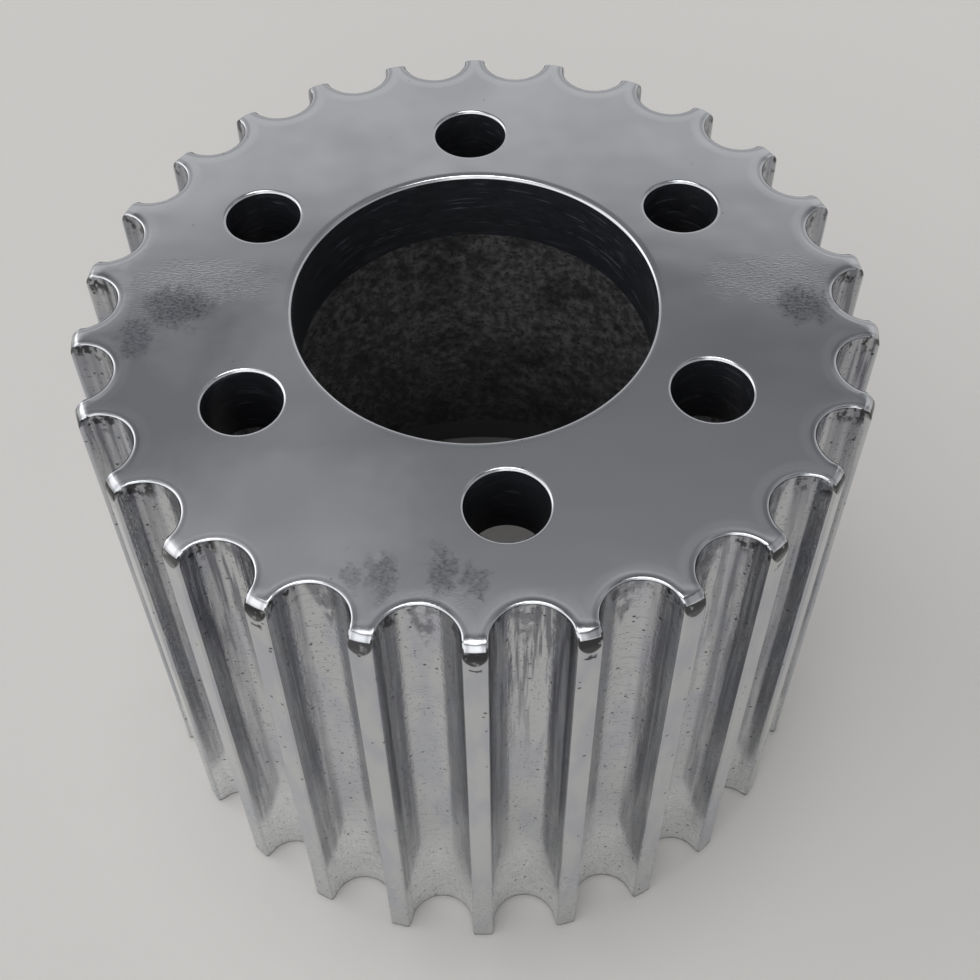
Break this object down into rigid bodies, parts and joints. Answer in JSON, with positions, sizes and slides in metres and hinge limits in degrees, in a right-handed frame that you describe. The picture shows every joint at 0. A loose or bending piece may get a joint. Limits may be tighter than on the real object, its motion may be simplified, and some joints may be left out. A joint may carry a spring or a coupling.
{
  "type": "blower drive pulley",
  "caption": "One-piece toothed drive pulley with round belt grooves, a drilled front web with a pilot bore and an open hollow back.",
  "frame": {"origin": "middle of the open back rim, on the plane that the pulley stands on", "axes": "+Z along the pulley's axis, from the open back to the drilled front face; +Y towards the top bolt hole, opposite the offset one"},
  "size_m": [0.1112, 0.1114, 0.0889],
  "materials": {
    "machined_aluminium": "buffed front face, milled grooves, black anodised bore, bolt holes and hollow"
  },
  "bodies": {
    "root": {"pulley": "machined_aluminium"}
  },
  "joints": []
}
